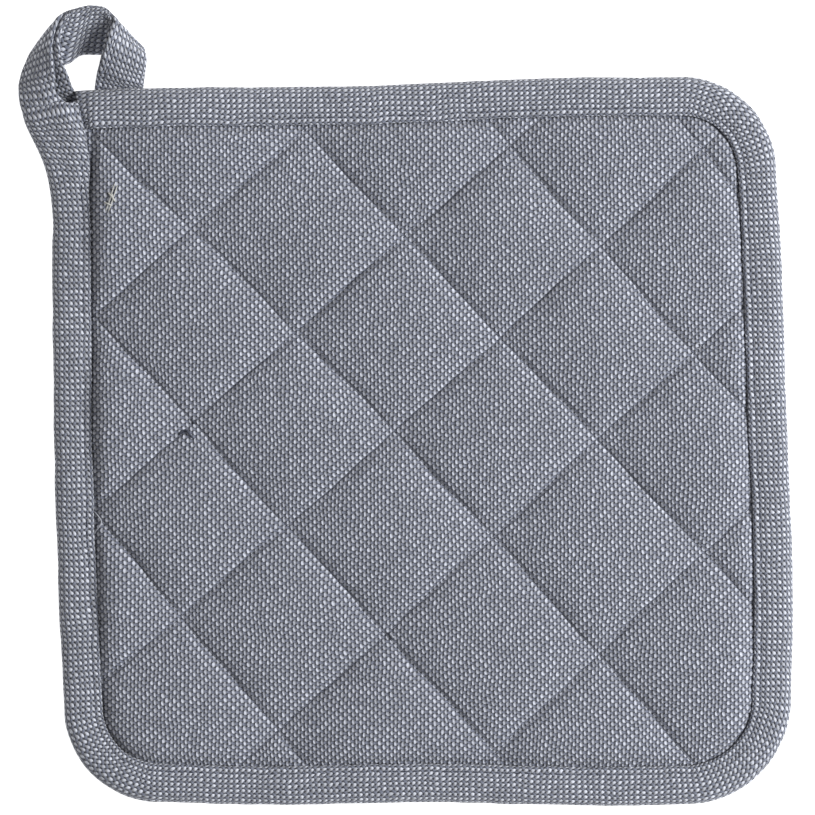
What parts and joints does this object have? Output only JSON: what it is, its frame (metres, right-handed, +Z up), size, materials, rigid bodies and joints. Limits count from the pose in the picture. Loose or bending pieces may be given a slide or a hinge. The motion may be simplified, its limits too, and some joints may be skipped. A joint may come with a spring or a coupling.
{
  "type": "quilted pot holder",
  "caption": "Square quilted cotton pot holder with rounded corners, bias binding all round and a hanging loop at one corner, lying flat face up.",
  "frame": {"origin": "the middle of the quilted pad's flat underside, on the plane it rests on", "axes": "+Z up out of the quilted face, +Y towards the side with the hanging loop, +X towards the side away from the loop"},
  "size_m": [0.2126, 0.2201, 0.0126],
  "materials": {
    "quilted_cotton": "matt plain-woven cotton, pale weft on blue-grey warp, quilted in diamonds",
    "bias_binding": "the same cotton cut on the bias and folded over the edge"
  },
  "bodies": {
    "root": {"quilted_pad": "quilted_cotton", "edge_binding": "bias_binding", "hanging_loop": "bias_binding"}
  },
  "joints": []
}
